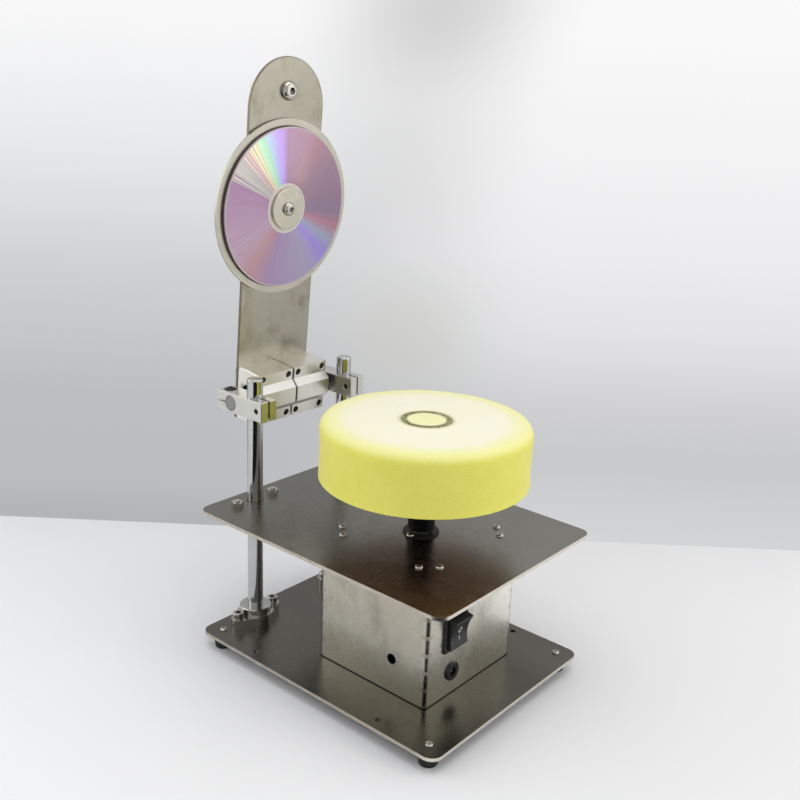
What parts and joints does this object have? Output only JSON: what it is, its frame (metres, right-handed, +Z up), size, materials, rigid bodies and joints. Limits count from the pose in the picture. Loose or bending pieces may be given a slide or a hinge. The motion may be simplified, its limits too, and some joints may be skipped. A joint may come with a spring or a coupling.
{
  "type": "disc polishing machine",
  "caption": "Bench machine with a motor-driven foam wheel on a two-plate stand and a hinged arm that carries a turning disc tray onto the wheel.",
  "frame": {"origin": "bottom centre of the whole machine, on the tabletop under the rubber feet", "axes": "+X to the operator's right, -Y to the front where the switch is, +Z up"},
  "size_m": [0.18, 0.2694, 0.4431],
  "materials": {
    "plate_steel": "satin brushed stainless sheet",
    "box_steel": "satin stainless sheet",
    "arm_steel": "fine brushed stainless sheet",
    "foot_rubber": "matt black rubber",
    "screw_steel": "bright stainless screws and nuts",
    "screw_black": "black oxide",
    "shaft_chrome": "ground and hard chromed",
    "support_aluminium": "bright machined",
    "clamp_aluminium": "satin silver",
    "block_aluminium": "satin silver, machined faces",
    "bush_steel": "ground",
    "tray_aluminium": "turned, satin",
    "pad_rubber": "soft dark pad",
    "disc_plastic": "optical disc, iridescent",
    "clamp_disc_aluminium": "turned",
    "bush_bronze": "plain bearing",
    "knob_plastic": "white",
    "foam": "open foam, pale yellow",
    "backing_plastic": "tan, matt",
    "hub_black": "black anodised",
    "motor_steel": "plated can",
    "motor_plastic": "black",
    "tag_brass": "tinned tags",
    "seal_rubber": "black",
    "switch_plastic": "black, fine grain",
    "rocker_plastic": "black, semi gloss",
    "inlet_plastic": "black"
  },
  "bodies": {
    "frame": {"base_plate": "plate_steel", "rubber_feet": "foot_rubber", "foot_screws": "screw_steel", "foot_nuts": "screw_steel", "column_left": "shaft_chrome", "column_right": "shaft_chrome", "supports_lower": "support_aluminium", "supports_upper": "support_aluminium", "support_clamp_screws": "screw_black", "support_screws_lower": "screw_steel", "support_nuts_lower": "screw_steel", "support_screws_upper": "screw_steel", "support_nuts_upper": "screw_steel", "upper_plate": "plate_steel", "motor_box": "box_steel", "box_screws_top": "screw_steel", "box_screws_bottom": "screw_steel", "motor_can": "motor_steel", "motor_cap": "motor_plastic", "motor_tags": "tag_brass", "motor_screws": "screw_steel", "motor_seal": "seal_rubber", "switch_housing": "switch_plastic", "switch_tags": "tag_brass", "inlet_body": "inlet_plastic", "inlet_pin": "tag_brass", "inlet_nut": "screw_steel", "clamp_left": "clamp_aluminium", "clamp_right": "clamp_aluminium", "clamp_screws_column": "screw_black", "clamp_screws_shaft": "screw_black", "hinge_shaft": "shaft_chrome"},
    "carriage": {"bushes": "bush_steel"},
    "arm": {"block_left": "block_aluminium", "block_right": "block_aluminium", "keeper_rings": "screw_black", "block_screws": "screw_steel", "arm_plate": "arm_steel", "knob": "knob_plastic", "knob_screw": "screw_steel", "tray_housing": "clamp_aluminium", "tray_bush": "bush_bronze", "housing_screws": "screw_black"},
    "tray": {"tray": "tray_aluminium", "pad": "pad_rubber", "disc": "disc_plastic", "clamp_disc": "clamp_disc_aluminium", "tray_sleeve": "bush_steel", "tray_washer": "screw_steel", "tray_nut": "screw_steel", "centre_screw": "screw_steel"},
    "wheel": {"motor_shaft": "motor_steel", "wheel_hub": "hub_black", "hub_screw": "screw_black", "wheel_backing": "backing_plastic", "foam_wheel": "foam"},
    "rocker": {"switch_rocker": "rocker_plastic"}
  },
  "joints": [
    {"name": "arm_slide", "type": "slide", "parent": "frame", "child": "carriage", "axis": [1, 0, 0], "range_m": [-0.0035, 0.0035]},
    {"name": "arm_swing", "type": "hinge", "parent": "carriage", "child": "arm", "pos_m": [0, 0.10143, 0.1917], "axis": [1, 0, 0], "range_deg": [-130, 82.5]},
    {"name": "tray_spin", "type": "hinge", "parent": "arm", "child": "tray", "pos_m": [0, 0.10573, 0.33462], "axis": [0, -0.9972, -0.075], "continuous": true},
    {"name": "wheel_spin", "type": "hinge", "parent": "frame", "child": "wheel", "pos_m": [0, -0.04417, 0.153], "axis": [0, 0, 1], "continuous": true},
    {"name": "switch_rock", "type": "hinge", "parent": "frame", "child": "rocker", "pos_m": [-0.021, -0.09317, 0.0655], "axis": [1, 0, 0], "range_deg": [-18, 0]}
  ]
}
